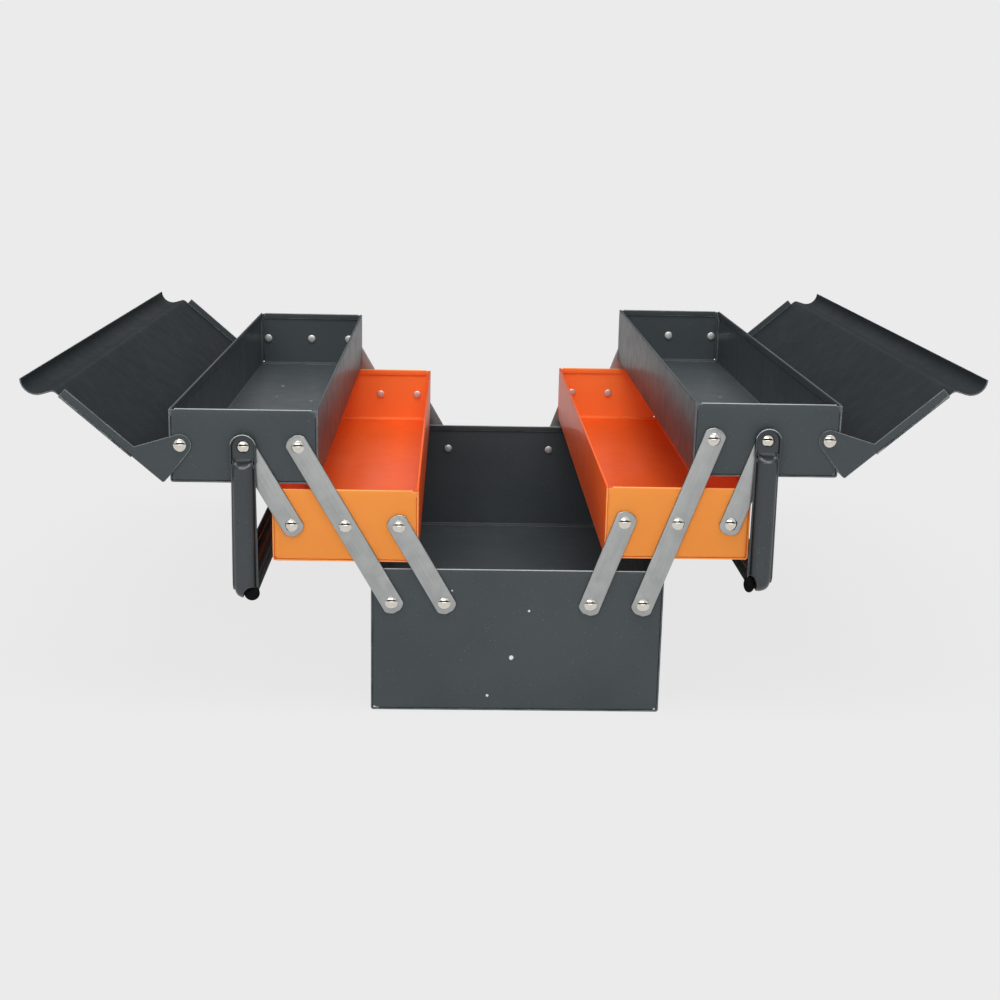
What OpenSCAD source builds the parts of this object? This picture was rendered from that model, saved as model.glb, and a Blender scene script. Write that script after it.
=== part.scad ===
// Cantilever tool box of painted sheet steel, shown open.
// X runs from left to right, Y from the front end to the rear end, Z up.
// The origin is the centre of the base's underside.

/* [Box] */
// Length of every tray, front end to rear end
box_len = 495; // [300:5:600]
// Width of the base tray
base_w = 200; // [180:1:220]
// Height of the base tray
base_h = 102; // [80:1:130]
// Thickness of the folded sheet
sheet_t = 0.9; // [0.6:0.1:1.2]
// Outer radius of the bends along the tray floors
bend_r = 1.8; // [1.3:0.1:3]
// Depth of the hem that is folded inwards along each rim
hem_d = 5; // [3:0.5:8]
// Bare stretch of rim between a hem's end and the corner
hem_stop = 2.6; // [2:0.1:5]
// Depth of the flanges that fix an end plate inside its shell
end_flange = 9; // [5:0.5:15]

/* [Trays] */
// Width of a middle or upper tray
tray_w = 98; // [90:0.5:98.5]
// Height of a middle or upper tray
tray_h = 49.8; // [42:0.1:60]
// Height of the pivots above a tray's underside
tray_pivot_z = 25.3; // [20:0.1:27]
// Distance from a tray's side to its nearest arm pivot
tray_pivot_inset = 13; // [11:0.5:15]
// Distance from an upper tray's outer side to the lid pivot
lid_pivot_inset = 7; // [6.5:0.1:9]

/* [Linkage] */
// Distance from the base's side to its outer arm pivot
base_pivot_inset = 14; // [12:0.5:16]
// Outward lean of the left arms as the box stands open
left_open = 30.1; // [22:0.1:34]
// Outward lean of the right arms as the box stands open
right_open = 20; // [18:0.1:34]
// Width of the arm bars
arm_w = 14.5; // [12:0.5:15.5]
// Thickness of the arm bars
arm_t = 1.5; // [1:0.1:2]
// Radius of the arm bars' rounded ends
arm_end_r = 8; // [7.8:0.1:9]

/* [Lids] */
// Turn from a closed lid to an open one
lid_open = 139; // [120:1:139]
// Distance by which a lid's flat panel stops short of the closed box's middle
lid_setback = 9; // [6:0.5:14]
// Height of a closed lid's top above the tray's rim
lid_over = 2.6; // [2.4:0.1:4]
// Depth of the flange along a lid's outer side
lid_side_flange = 6.8; // [4:0.1:7]
// Depth of the flanges at a lid's ends
lid_end_flange = 6.1; // [5:0.1:8]
// Distance from the lid pivot inwards to the elbow of the end flange
lid_elbow = 21.8; // [18:0.2:26]
// Radius of the ear round the lid pivot
ear_r = 7.3; // [6:0.1:7.5]
// Upward turn of the lip where it leaves the panel
lip_rise = 58; // [45:1:65]
// Length of the lip's straight rise
lip_straight = 6; // [3:0.5:8]
// Radius of the lip's rolled crest
lip_crest_r = 11; // [8:0.5:13]
// Downward turn at the lip's free edge
lip_fall = 48; // [20:1:60]

/* [Handles] */
// Distance from a handle's pivot to the outside of its grip
handle_reach = 105; // [98:1:112]
// Width of the pad round the pivot, and of the channel's open side
pad_w = 17.5; // [16:0.5:19]
// Width of the channel's closed side
web_w = 14.5; // [12:0.5:15.5]
// Thickness of the handle's sheet
handle_t = 1.2; // [0.9:0.1:1.5]
// Depth of the channel along the arms
channel_d = 6.5; // [5.5:0.1:8]
// Depth of the channel along the grip
grip_d = 15; // [14.5:0.5:18]
// Outer radius of the corners between the arms and the grip
corner_r = 14; // [12:0.5:14]
// Radius of the relief notch in each corner
notch_r = 5.4; // [3:0.2:5.6]
// Distance from the pivot to the end of the flat pad
pad_drop = 9; // [8.8:0.1:12]
// Length of the slope from the pad out to the channel
neck_len = 5.5; // [4:0.5:8]
// Height of the rim round the pad
rim_h = 4.2; // [3:0.1:5]

/* [Rivets] */
// Radius of the rivet shanks
shank_r = 2.5; // [2:0.1:3]
// Radius of the domed heads
head_r = 4.25; // [3.6:0.05:4.6]
// Height of the domed heads
head_h = 2.2; // [1.5:0.1:2.3]
// Radius of the closed ends inside the trays
tail_r = 3.5; // [3.2:0.1:4]
// Height of the closed ends inside the trays
tail_h = 1.2; // [0.8:0.1:1.5]

/* [Clearances] */
// Gap between an end plate and an arm
arm_gap = 0.3; // [0.2:0.05:0.5]
// Gap between an arm and the handle's pad
pad_gap = 0.3; // [0.2:0.05:0.5]
// Gap between an end plate and the lid's end flange
lid_gap = 0.2; // [0.15:0.05:0.4]
// Gap between a tray's outer side and the lid's side flange
side_gap = 0.4; // [0.3:0.05:0.8]
// Gap under a rivet's head
head_gap = 0.1; // [0.05:0.05:0.3]
// Radial clearance of the pivots
hole_gap = 0.06; // [0.03:0.01:0.1]
// Gap between a lid rivet's head and the handle's channel
channel_gap = 0.4; // [0.3:0.05:1]
// Gap between the closed box's middle plane and an upper tray
centre_gap = 0.6; // [0.4:0.1:2]
// Gap between a closed middle tray and the upper tray on it
stack_gap = 0.53; // [0.3:0.01:2]
// Gap between the base's rim and a closed middle tray
base_gap = 1.4; // [0.5:0.1:3]
// Gap between an end plate's flange and a hem
flange_gap = 0.5; // [0.3:0.1:2]

/* [Hidden] */
$fn = 64;

// Sides and ends
left = -1;
right = 1;
front = -1;
rear = 1;
sides = [left, right];
ends = [front, rear];

// Colours
dark_grey = "#4E5357";
orange = "#EC8A3C";
zinc = "#A5A8A8";
nickel = "#D2D0C8";

// One named overrun for the cuts
cut = 1;
// Angle between two points of a bent sheet's outline
bend_step = 9;
quarter_turn = 90;
half_turn = 180;

// Linkage: the arms are parallelograms, so the trays stay level
pivot_pitch = tray_w / 2 - tray_pivot_inset;
rise_closed = tray_h + stack_gap;
lean_closed = (base_w / 2 - base_pivot_inset - tray_pivot_inset - centre_gap) / 2;
arm_pitch = norm([rise_closed, lean_closed]);
base_pivot_x = base_w / 2 - base_pivot_inset;
base_pivot_z = base_h + base_gap + tray_pivot_z - rise_closed;

function open_angle(side) = side == left ? left_open : right_open;
function lean(side) = arm_pitch * sin(open_angle(side));
function rise(side) = arm_pitch * cos(open_angle(side));
// Places on one side of the box, with x measured outwards from the middle plane
function middle_pivot(side) = [base_pivot_x + lean(side), base_pivot_z + rise(side)];
function upper_pivot(side) = middle_pivot(side) + [lean(side), rise(side)];
function handle_pivot(side) = upper_pivot(side) + [pivot_pitch, 0];
function lid_pivot(side) = handle_pivot(side) + [tray_w / 2 - lid_pivot_inset, 0];

// Distances outwards from an end plate's face
pad_y = arm_gap + arm_t + pad_gap;
lid_y = lid_gap + sheet_t;
channel_y = lid_y + head_gap + head_h + channel_gap;
handle_y = channel_y + channel_d;

// Lid, seen closed from the front with the pivot at the origin and x outwards
lid_top = tray_h - tray_pivot_z + lid_over;
lid_side = lid_pivot_inset + side_gap + sheet_t;
lid_flat = tray_w + centre_gap - lid_pivot_inset - lid_setback;
lid_corner_r = bend_r;
lip_bend_r = 3;
flange_nose = lid_end_flange / 2;
// How far the flange's straight edges run inside the ear's round edge
ear_overlap = 0.15;

// Handle, seen hanging from the front with the pivot at the origin
channel_corner_r = 3;
neck_end = pad_drop + neck_len;
corner_z = handle_reach - corner_r;
notch_z = handle_reach - notch_r + handle_t;
notch_offset = 1.5;

// Shared outlines
function arc(centre, r, from, to) =
    let (n = ceil(abs(to - from) / bend_step))
    [for (i = [0 : n]) let (a = from + (to - from) * i / n) centre + r * [cos(a), sin(a)]];

function unit(v) = v / norm(v);
function turned(v) = [-v[1], v[0]];
function side_of(path, i) =
    let (a = unit(path[min(i + 1, len(path) - 1)] - path[min(i, len(path) - 2)]))
    let (b = unit(path[max(i, 1)] - path[max(i - 1, 0)]))
    turned(unit(a + b)) / cos(acos(min(1, a * b)) / 2);
function shifted(path, d) = [for (i = [0 : len(path) - 1]) path[i] + d * side_of(path, i)];
function reversed(path) = [for (i = [len(path) - 1 : -1 : 0]) path[i]];

// A bent strip of sheet with its right-hand face along the path
module strip(path, t) {
    polygon(concat(path, reversed(shifted(path, t))));
}

// Where a line from a point touches a circle about the origin
function touch(point, r, hand) =
    let (a = atan2(point[1], point[0]) + hand * acos(r / norm(point)))
    r * [cos(a), sin(a)];

// Moves the front end's shape to either end, or the right side's to either side
module at_end(end) {
    if (end == front) children();
    else mirror([0, 1, 0]) children();
}

module at_side(side) {
    if (side == right) children();
    else mirror([1, 0, 0]) children();
}

// Stands a flat shape up in front of the front end plate, y outwards from its face
module stand(y, t) {
    translate([0, -box_len / 2 - y, 0])
        rotate([quarter_turn, 0, 0])
            linear_extrude(t)
                children();
}

// Draws a section seen from the front along the box, centred on its middle
module along(length) {
    rotate([quarter_turn, 0, 0])
        linear_extrude(length, center = true)
            children();
}

// Trays: a folded floor and two long walls, with an end plate between them
function trough(w, h, r) = concat(
    [[-w / 2, h]],
    arc([-w / 2 + r, r], r, half_turn, half_turn + quarter_turn),
    arc([w / 2 - r, r], r, -quarter_turn, 0),
    [[w / 2, h]]
);

module hem_section(h) {
    translate([0, h - sheet_t])
        circle(sheet_t);
    translate([0, h - hem_d])
        square([sheet_t, hem_d - sheet_t]);
}

module shell(w, h) {
    along(box_len)
        strip(trough(w, h - sheet_t, bend_r), sheet_t);
    for (side = sides)
        at_side(side)
            translate([w / 2 - sheet_t, 0, 0])
                mirror([1, 0, 0])
                    along(box_len - 2 * hem_stop)
                        hem_section(h);
}

// The end plate's flanges lie on the shell's floor and walls
module end_plate(w, h, holes) {
    inner_w = w - 2 * sheet_t;
    flange_h = h - sheet_t - hem_d - flange_gap;
    difference() {
        translate([0, 0, sheet_t])
            stand(-sheet_t, sheet_t)
                polygon(trough(inner_w, h - 2 * sheet_t, bend_r));
        for (p = holes)
            translate([p[0], 0, p[1]])
                stand(-sheet_t - cut, sheet_t + 2 * cut)
                    circle(shank_r + hole_gap);
    }
    translate([0, 0, sheet_t])
        stand(-end_flange, end_flange)
            strip(trough(inner_w, flange_h, bend_r), sheet_t);
    translate([0, -box_len / 2 + sheet_t, 0])
        rotate([quarter_turn, 0, quarter_turn])
            linear_extrude(inner_w - 2 * hem_stop, center = true)
                hem_section(h);
}

// Rivets: a domed head outside, a shank, and a closed end inside the plate
module dome(r, h) {
    ball = (r * r + h * h) / (2 * h);
    intersection() {
        translate([0, 0, h - ball])
            sphere(ball);
        cylinder(h = h, r = r);
    }
}

module rivet(p, reach) {
    translate([p[0], -box_len / 2, p[1]])
        rotate([quarter_turn, 0, 0]) {
            translate([0, 0, -sheet_t])
                cylinder(h = sheet_t + reach + head_h / 2, r = shank_r);
            translate([0, 0, reach])
                dome(head_r, head_h);
            translate([0, 0, -sheet_t])
                mirror([0, 0, 1])
                    dome(tail_r, tail_h);
        }
}

module rivets(places, reach) {
    for (end = ends)
        at_end(end)
            for (p = places)
                rivet(p, reach);
}

arm_reach = arm_gap + arm_t + head_gap;
handle_rivet_reach = pad_y + handle_t + head_gap;
lid_rivet_reach = lid_y + head_gap;

// Arms: flat bars with round ends
module bar(length, holes) {
    difference() {
        union() {
            translate([0, -arm_w / 2])
                square([length, arm_w]);
            for (x = [0, length])
                translate([x, 0])
                    intersection() {
                        circle(arm_end_r);
                        square([2 * arm_end_r, arm_w], center = true);
                    }
        }
        for (x = holes)
            translate([x, 0])
                circle(shank_r + hole_gap);
    }
}

module arm(side, end, foot, length, holes) {
    at_side(side)
        at_end(end)
            translate([foot[0], 0, foot[1]])
                stand(arm_gap, arm_t)
                    rotate(quarter_turn - open_angle(side))
                        bar(length, holes);
}

module long_arm(side, end) {
    arm(side, end, [base_pivot_x, base_pivot_z], 2 * arm_pitch, [0, arm_pitch, 2 * arm_pitch]);
}

module lower_arm(side, end) {
    arm(side, end, [base_pivot_x - pivot_pitch, base_pivot_z], arm_pitch, [0, arm_pitch]);
}

module upper_arm(side, end) {
    arm(side, end, middle_pivot(side) + [pivot_pitch, 0], arm_pitch, [0, arm_pitch]);
}

// Middle and upper trays
tray_holes = [[-pivot_pitch, tray_pivot_z], [0, tray_pivot_z], [pivot_pitch, tray_pivot_z]];
lid_hole = [tray_w / 2 - lid_pivot_inset, tray_pivot_z];
middle_holes = tray_holes;
upper_holes = [tray_holes[0], tray_holes[1], lid_hole];

module middle_place(side) {
    at_side(side)
        translate([middle_pivot(side)[0], 0, middle_pivot(side)[1] - tray_pivot_z])
            children();
}

module upper_place(side) {
    at_side(side)
        translate([handle_pivot(side)[0], 0, handle_pivot(side)[1] - tray_pivot_z])
            children();
}

module middle_end(side, end) {
    middle_place(side)
        at_end(end)
            end_plate(tray_w, tray_h, middle_holes);
}

module upper_end(side, end) {
    upper_place(side)
        at_end(end)
            end_plate(tray_w, tray_h, upper_holes);
}

// Base tray
base_holes = [
    for (side = sides)
        for (x = [base_pivot_x, base_pivot_x - pivot_pitch])
            [side * x, base_pivot_z]
];

// Lids: a flat panel with a flange along its outer side, flanges at both ends,
// and a rolled lip along its inner edge
lip_start = [-lid_flat, lid_top];
lip_foot = lip_start + [0, lip_bend_r];
lip_along = [-cos(lip_rise), sin(lip_rise)];
lip_turn = lip_foot + lip_bend_r * [-sin(lip_rise), -cos(lip_rise)] + lip_straight * lip_along;
lip_centre = lip_turn + lip_crest_r * [-sin(lip_rise), -cos(lip_rise)];

lid_outline = concat(
    [[lid_side, lid_top - lid_side_flange]],
    arc([lid_side - lid_corner_r, lid_top - lid_corner_r], lid_corner_r, 0, quarter_turn),
    arc(lip_foot, lip_bend_r, -quarter_turn, -quarter_turn - lip_rise),
    arc(lip_centre, lip_crest_r, quarter_turn - lip_rise, quarter_turn + lip_fall)
);

module lid_flange() {
    elbow = [-lid_elbow, lid_top - lid_end_flange];
    nose = [-lid_flat + lid_end_flange, lid_top - flange_nose];
    corner = [lid_side, lid_top - lid_corner_r];
    difference() {
        union() {
            polygon([
                corner,
                [lid_side - lid_corner_r, lid_top],
                [nose[0], lid_top],
                [nose[0], elbow[1]],
                elbow,
                touch(elbow, ear_r - ear_overlap, 1),
                [0, 0],
                touch(corner, ear_r - ear_overlap, -1)
            ]);
            translate(nose)
                circle(flange_nose);
            circle(ear_r);
        }
        circle(shank_r + hole_gap);
    }
}

module lid(side) {
    at_side(side)
        translate([lid_pivot(side)[0], 0, lid_pivot(side)[1]])
            rotate([0, lid_open, 0]) {
                along(box_len + 2 * lid_y)
                    strip(lid_outline, sheet_t);
                for (end = ends)
                    at_end(end)
                        stand(lid_gap, sheet_t)
                            lid_flange();
            }
}

// Handles: a bail bent from one pressed channel, its closed side outwards
function channel(depth) =
    let (a = web_w / 2)
    let (r = channel_corner_r)
    concat(
        [[pad_w / 2, 0]],
        arc([a - r, depth - r], r, 0, quarter_turn),
        arc([-a + r, depth - r], r, quarter_turn, half_turn),
        [[-pad_w / 2, 0]]
    );

module channel_section(depth) {
    strip(channel(depth), handle_t);
}

module pad_outline(r, drop) {
    circle(r);
    translate([-r, -drop])
        square([2 * r, drop]);
}

module pad() {
    difference() {
        union() {
            stand(pad_y, handle_t)
                pad_outline(pad_w / 2, pad_drop);
            stand(pad_y, rim_h)
                difference() {
                    pad_outline(pad_w / 2, pad_drop);
                    pad_outline(pad_w / 2 - handle_t, pad_drop + cut);
                }
        }
        stand(pad_y - cut, handle_t + 2 * cut)
            circle(shank_r + hole_gap);
    }
}

// Seen from the side, y outwards: the slope from the pad up to the channel's web
module neck() {
    slope = [
        [pad_y, -pad_drop + handle_t],
        [pad_y, -pad_drop],
        [handle_y - handle_t, -neck_end],
        [handle_y - handle_t, -neck_end - handle_t]
    ];
    translate([0, -box_len / 2, 0])
        rotate([quarter_turn, 0, -quarter_turn])
            linear_extrude(web_w - 2 * handle_t, center = true)
                strip(slope, handle_t);
}

module handle_arm() {
    pad();
    neck();
    difference() {
        translate([0, -box_len / 2 - channel_y, -corner_z])
            mirror([0, 1, 0])
                linear_extrude(corner_z - pad_drop)
                    channel_section(channel_d);
        translate([0, -box_len / 2, 0])
            rotate([quarter_turn, 0, -quarter_turn])
                linear_extrude(web_w - 2 * handle_t, center = true)
                    polygon([
                        [channel_y, -pad_drop + cut],
                        [handle_y + cut, -pad_drop + cut],
                        [handle_y + cut, -neck_end],
                        [handle_y - handle_t, -neck_end]
                    ]);
    }
}

module handle_corner() {
    difference() {
        translate([0, -box_len / 2 - handle_y + corner_r, -corner_z])
            rotate([half_turn, -quarter_turn, 0])
                rotate_extrude(angle = quarter_turn)
                    translate([handle_t, 0])
                        rotate(-quarter_turn)
                            channel_section(corner_r - handle_t);
        translate([-notch_offset, 0, -notch_z])
            stand(handle_y - corner_r, corner_r + cut)
                circle(notch_r);
    }
}

module grip() {
    translate([0, 0, grip_d - handle_reach])
        mirror([0, 0, 1])
            along(box_len + 2 * (handle_y - corner_r))
                channel_section(grip_d);
}

module handle(side) {
    at_side(side)
        translate([handle_pivot(side)[0], 0, handle_pivot(side)[1]]) {
            for (end = ends)
                at_end(end) {
                    handle_arm();
                    handle_corner();
                }
            grip();
        }
}

// Named pieces
module base_shell() { color(dark_grey) shell(base_w, base_h); }
module base_front_end() { color(dark_grey) end_plate(base_w, base_h, base_holes); }
module base_rear_end() { color(dark_grey) at_end(rear) end_plate(base_w, base_h, base_holes); }
module base_rivets() { color(nickel) rivets(base_holes, arm_reach); }

module tray_rivets(holes, reach) { color(nickel) rivets(holes, reach); }

module left_middle_shell() { color(orange) middle_place(left) shell(tray_w, tray_h); }
module left_middle_front_end() { color(orange) middle_end(left, front); }
module left_middle_rear_end() { color(orange) middle_end(left, rear); }
module left_middle_rivets() { middle_place(left) tray_rivets(middle_holes, arm_reach); }
module left_upper_shell() { color(dark_grey) upper_place(left) shell(tray_w, tray_h); }
module left_upper_front_end() { color(dark_grey) upper_end(left, front); }
module left_upper_rear_end() { color(dark_grey) upper_end(left, rear); }
module left_upper_arm_rivets() { upper_place(left) tray_rivets([upper_holes[0]], arm_reach); }
module left_handle_rivets() { upper_place(left) tray_rivets([upper_holes[1]], handle_rivet_reach); }
module left_lid_rivets() { upper_place(left) tray_rivets([lid_hole], lid_rivet_reach); }
module left_lid() { color(dark_grey) lid(left); }
module left_handle() { color(dark_grey) handle(left); }
module left_front_long_arm() { color(zinc) long_arm(left, front); }
module left_rear_long_arm() { color(zinc) long_arm(left, rear); }
module left_front_lower_arm() { color(zinc) lower_arm(left, front); }
module left_rear_lower_arm() { color(zinc) lower_arm(left, rear); }
module left_front_upper_arm() { color(zinc) upper_arm(left, front); }
module left_rear_upper_arm() { color(zinc) upper_arm(left, rear); }

module right_middle_shell() { color(orange) middle_place(right) shell(tray_w, tray_h); }
module right_middle_front_end() { color(orange) middle_end(right, front); }
module right_middle_rear_end() { color(orange) middle_end(right, rear); }
module right_middle_rivets() { middle_place(right) tray_rivets(middle_holes, arm_reach); }
module right_upper_shell() { color(dark_grey) upper_place(right) shell(tray_w, tray_h); }
module right_upper_front_end() { color(dark_grey) upper_end(right, front); }
module right_upper_rear_end() { color(dark_grey) upper_end(right, rear); }
module right_upper_arm_rivets() { upper_place(right) tray_rivets([upper_holes[0]], arm_reach); }
module right_handle_rivets() { upper_place(right) tray_rivets([upper_holes[1]], handle_rivet_reach); }
module right_lid_rivets() { upper_place(right) tray_rivets([lid_hole], lid_rivet_reach); }
module right_lid() { color(dark_grey) lid(right); }
module right_handle() { color(dark_grey) handle(right); }
module right_front_long_arm() { color(zinc) long_arm(right, front); }
module right_rear_long_arm() { color(zinc) long_arm(right, rear); }
module right_front_lower_arm() { color(zinc) lower_arm(right, front); }
module right_rear_lower_arm() { color(zinc) lower_arm(right, rear); }
module right_front_upper_arm() { color(zinc) upper_arm(right, front); }
module right_rear_upper_arm() { color(zinc) upper_arm(right, rear); }

base_shell();
base_front_end();
base_rear_end();
base_rivets();
left_middle_shell();
left_middle_front_end();
left_middle_rear_end();
left_middle_rivets();
left_upper_shell();
left_upper_front_end();
left_upper_rear_end();
left_upper_arm_rivets();
left_handle_rivets();
left_lid_rivets();
left_lid();
left_handle();
left_front_long_arm();
left_rear_long_arm();
left_front_lower_arm();
left_rear_lower_arm();
left_front_upper_arm();
left_rear_upper_arm();
right_middle_shell();
right_middle_front_end();
right_middle_rear_end();
right_middle_rivets();
right_upper_shell();
right_upper_front_end();
right_upper_rear_end();
right_upper_arm_rivets();
right_handle_rivets();
right_lid_rivets();
right_lid();
right_handle();
right_front_long_arm();
right_rear_long_arm();
right_front_lower_arm();
right_rear_lower_arm();
right_front_upper_arm();
right_rear_upper_arm();
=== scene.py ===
# %% [markdown]
# # A cantilever tool box, standing open
#
# The imported model holds every piece of the box at its real size, in metres. This lesson dresses
# it: the folded sheets, the arms and the rivets are modelled again with soft bends and eased
# edges, and each finish is built from what the real one is, with painted highlight and painted
# shade laid into some colours. X runs from the left trays to the right ones, Y from the front end
# to the rear end, and Z up from the underside of the base.

# %% Load the imported model
import math
from functools import partial

import bmesh
import bpy
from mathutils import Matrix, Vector


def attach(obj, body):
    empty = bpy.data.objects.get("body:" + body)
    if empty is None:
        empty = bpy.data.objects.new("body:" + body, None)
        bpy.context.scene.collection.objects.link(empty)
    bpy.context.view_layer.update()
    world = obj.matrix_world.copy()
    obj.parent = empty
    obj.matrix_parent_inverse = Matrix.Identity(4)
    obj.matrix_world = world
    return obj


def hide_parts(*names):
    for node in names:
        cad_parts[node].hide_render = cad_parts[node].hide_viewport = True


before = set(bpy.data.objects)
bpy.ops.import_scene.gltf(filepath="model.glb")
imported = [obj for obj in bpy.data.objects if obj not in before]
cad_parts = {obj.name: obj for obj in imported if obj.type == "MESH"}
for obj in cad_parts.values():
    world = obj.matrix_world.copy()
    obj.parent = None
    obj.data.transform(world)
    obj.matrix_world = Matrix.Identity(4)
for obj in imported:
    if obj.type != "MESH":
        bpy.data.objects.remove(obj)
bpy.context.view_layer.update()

# %% [markdown]
# ## The camera
#
# A camera was fitted to the rivets and corners in the photograph, so that a millimetre on the
# box lands on the same pixel in the render. It stands a metre in front of the near end,
# a little to the left, and looks down by about 14 degrees.

# %% Camera
MM = 0.001
camera_data = bpy.data.cameras.new("camera")
camera_data.sensor_width = 36
camera_data.lens = 55.258
camera_data.clip_start = 0.05
camera = bpy.data.objects.new("camera", camera_data)
camera.location = (-46.12 * MM, -1246.91 * MM, 403.54 * MM)
camera.rotation_euler = (math.radians(75.822), math.radians(-1.2), math.radians(-1.5705))
bpy.context.scene.collection.objects.link(camera)
bpy.context.scene.camera = camera
bpy.context.scene.view_settings.view_transform = "Standard"
print("camera at", tuple(round(v, 3) for v in camera.location))

# %% [markdown]
# ## Sizes of the box
#
# These are the sheet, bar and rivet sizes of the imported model, in millimetres. Each pair of arms
# is a parallelogram, so a tray's place follows from the angle of its arms.

# %% Sizes in millimetres
box_length = 495
base_width, base_height = 200, 102
tray_width, tray_height = 98, 49.8
sheet = 0.9
bend_radius = 1.8
hem_depth, hem_stop = 5, 2.6
end_flange = 9
front = -box_length / 2
pivot_height = 25.3
arm_pitch = 61.996
rivet_spacing = 36
base_pivot = (86, 78.37)
lean = {"left": 30.1, "right": 20.0}
out = {"left": -1, "right": 1}
lid_inset = 7
lid_angle = 139


def steps_up(side, count):
    """The place of the long arm's rivet after a number of arm lengths, x outwards."""
    angle = math.radians(lean[side])
    return (base_pivot[0] + count * arm_pitch * math.sin(angle),
            base_pivot[1] + count * arm_pitch * math.cos(angle))


middle_pivot = {side: steps_up(side, 1) for side in out}
upper_pivot = {side: steps_up(side, 2) for side in out}
for side in out:
    print(side, "middle tray rivet at", [round(v, 1) for v in middle_pivot[side]],
          "upper tray rivet at", [round(v, 1) for v in upper_pivot[side]])

# %% [markdown]
# ## Working by hand
#
# Most pieces here are sheet metal, and sheet is made by folding. So a piece starts as one flat
# primitive, an edge of it is picked by its place, and that edge is extruded along the flats and
# spun round the bends, as a folding machine would do it. The helpers below only save typing.

# %% Helpers for picking and placing
def clear_selection():
    """Leaves edit mode and deselects every object."""
    if bpy.context.mode != "OBJECT":
        bpy.ops.object.mode_set(mode="OBJECT")
    bpy.ops.object.select_all(action="DESELECT")


def choose(*pieces):
    """Selects whole objects, the first one active."""
    clear_selection()
    for piece in pieces:
        piece.select_set(True)
    bpy.context.view_layer.objects.active = pieces[0]


def start_edit(piece, whole=False):
    """Goes into edit mode, with the whole mesh selected when asked."""
    choose(piece)
    bpy.ops.object.mode_set(mode="EDIT")
    if whole:
        bpy.ops.mesh.select_all(action="SELECT")


def end_edit():
    bpy.ops.object.mode_set(mode="OBJECT")


def apply_place(piece):
    """Writes an object's move, turn and scale into its mesh, with its faces outwards."""
    mirrored = piece.matrix_world.determinant() < 0
    choose(piece)
    bpy.ops.object.transform_apply(location=True, rotation=True, scale=True)
    if mirrored:
        start_edit(piece, whole=True)
        bpy.ops.mesh.flip_normals()
        end_edit()


unit_sizes = {"plane": {"size": 1}, "cube": {"size": 1}, "circle": {"radius": 1},
              "cylinder": {"radius": 1, "depth": 1}, "uv_sphere": {"radius": 1}}


def add_primitive(kind, name, place=(0, 0, 0), span=(1, 1, 1), turn=(0, 0, 0), **options):
    """Adds a primitive of unit size, then gives it its size and place in millimetres."""
    clear_selection()
    getattr(bpy.ops.mesh, f"primitive_{kind}_add")(**unit_sizes[kind], **options)
    piece = bpy.context.object
    piece.name = piece.data.name = name
    piece.location = [v * MM for v in place]
    piece.scale = [v * MM for v in span]
    piece.rotation_euler = [math.radians(v) for v in turn]
    apply_place(piece)
    return piece


def pick(kind, test, by_normal=False):
    """Selects the vertices, edges or faces whose middle, in millimetres, passes a test."""
    bpy.ops.mesh.select_mode(type=kind)
    bpy.ops.mesh.select_all(action="DESELECT")
    mesh = bmesh.from_edit_mesh(bpy.context.object.data)
    parts = {"VERT": mesh.verts, "EDGE": mesh.edges, "FACE": mesh.faces}[kind]
    count = 0
    for part in parts:
        corners = [part] if kind == "VERT" else part.verts
        middle = sum((v.co for v in corners), Vector()) / (len(corners) * MM)
        if test(middle, part.normal) if by_normal else test(middle):
            part.select_set(True)
            count += 1
    mesh.select_flush_mode()
    bmesh.update_edit_mesh(bpy.context.object.data)
    if count == 0:
        raise ValueError(f"nothing was picked on {bpy.context.object.name}")
    return count


def close_to(value, target, slack=0.06):
    return abs(value - target) < slack


def cut_across(axis, *places):
    """Bisects the whole mesh being edited square to an axis, at each place."""
    for place in places:
        bpy.ops.mesh.select_all(action="SELECT")
        point, normal = Vector(), Vector()
        point[axis], normal[axis] = place * MM, 1
        bpy.ops.mesh.bisect(plane_co=point, plane_no=normal, threshold=1e-6)


def extrude(x=0, y=0, z=0):
    bpy.ops.mesh.extrude_region_move(TRANSFORM_OT_translate={"value": (x * MM, y * MM, z * MM)})


# %% Helpers for folding
X, Y, Z = (1, 0, 0), (0, 1, 0), (0, 0, 1)
bend_step = 15
merge_distance = 0.004
edge_ease = 0.16
hair = 0.02  # sheet is drawn thinner by this, so that no two pieces have faces in one plane


def direction(heading):
    """A heading in degrees as a vector of length 1."""
    angle = math.radians(heading)
    return Vector((math.cos(angle), math.sin(angle)))


def fold(start, heading, runs, across, up):
    """Folds the picked edge along a profile. A number is a flat run in millimetres, and a pair
    is a bend: its radius, and its turn in degrees, to the left when positive."""
    across, up = Vector(across), Vector(up)
    axis = across.cross(up)
    place = Vector(start)
    for run in runs:
        ahead = direction(heading)
        if isinstance(run, tuple):
            radius, turn = run
            hand = math.copysign(1, turn)
            centre = place + radius * hand * Vector((-ahead.y, ahead.x))
            point = (across * centre.x + up * centre.y) * MM
            bpy.ops.mesh.spin(steps=max(3, round(abs(turn) / bend_step)),
                              angle=-math.radians(turn), center=point, axis=axis)
            heading += turn
            ahead = direction(heading)
            place = centre - radius * hand * Vector((-ahead.y, ahead.x))
        else:
            move = ahead * run
            extrude(*(across * move.x + up * move.y))
            place = place + move


def modify(piece, kind, **settings):
    """Adds a modifier with its settings and applies it."""
    choose(piece)
    modifier = piece.modifiers.new(kind.lower(), kind)
    for name, value in settings.items():
        setattr(modifier, name, value)
    bpy.ops.object.modifier_apply(modifier=modifier.name)


def merge_doubles(piece):
    start_edit(piece, whole=True)
    bpy.ops.mesh.remove_doubles(threshold=merge_distance * MM)
    bpy.ops.mesh.normals_make_consistent(inside=False)
    end_edit()


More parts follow.
